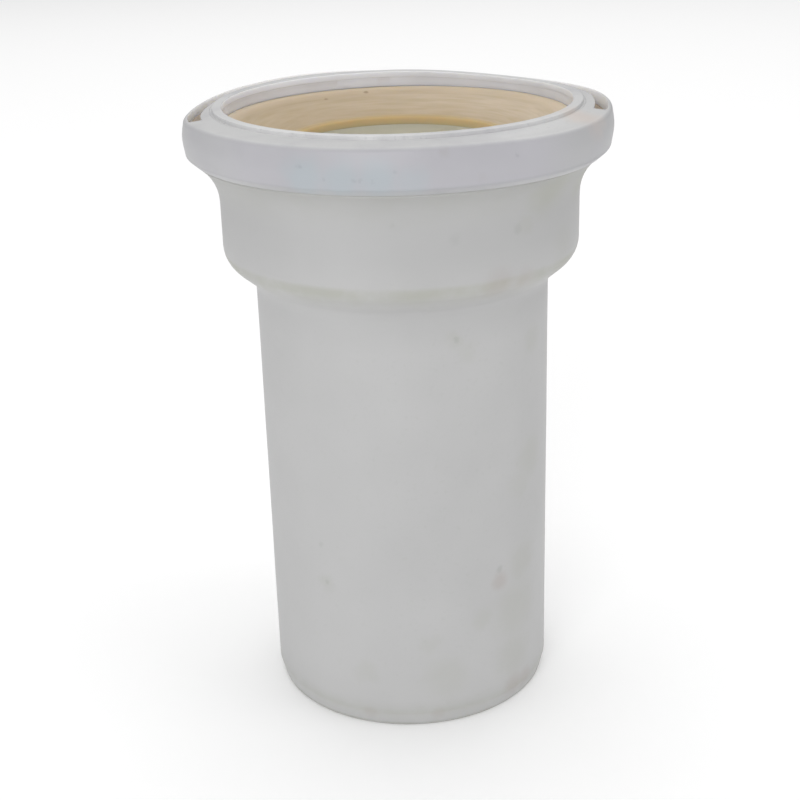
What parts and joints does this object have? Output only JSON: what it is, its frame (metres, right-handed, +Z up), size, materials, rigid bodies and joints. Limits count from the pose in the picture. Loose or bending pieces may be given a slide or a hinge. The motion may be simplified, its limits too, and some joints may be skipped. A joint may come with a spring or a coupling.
{
  "type": "toilet pan connector",
  "caption": "Straight plastic connector with a spigot, a wider socket and a capped rim with a rubber lip seal, joining a toilet pan outlet to a soil pipe.",
  "frame": {"origin": "centre of the spigot's foot, on the surface that the part stands on", "axes": "+Z up along the tube, from the spigot to the mouth; +Y towards the side of the cap that has the windows"},
  "size_m": [0.1562, 0.1562, 0.231],
  "materials": {
    "upvc_body": "moulded, satin",
    "upvc_cap": "moulded, satin",
    "gum_rubber": "moulded, dull"
  },
  "bodies": {
    "root": {"connector_body": "upvc_body", "rubber_seal": "gum_rubber", "retaining_cap": "upvc_cap"}
  },
  "joints": []
}
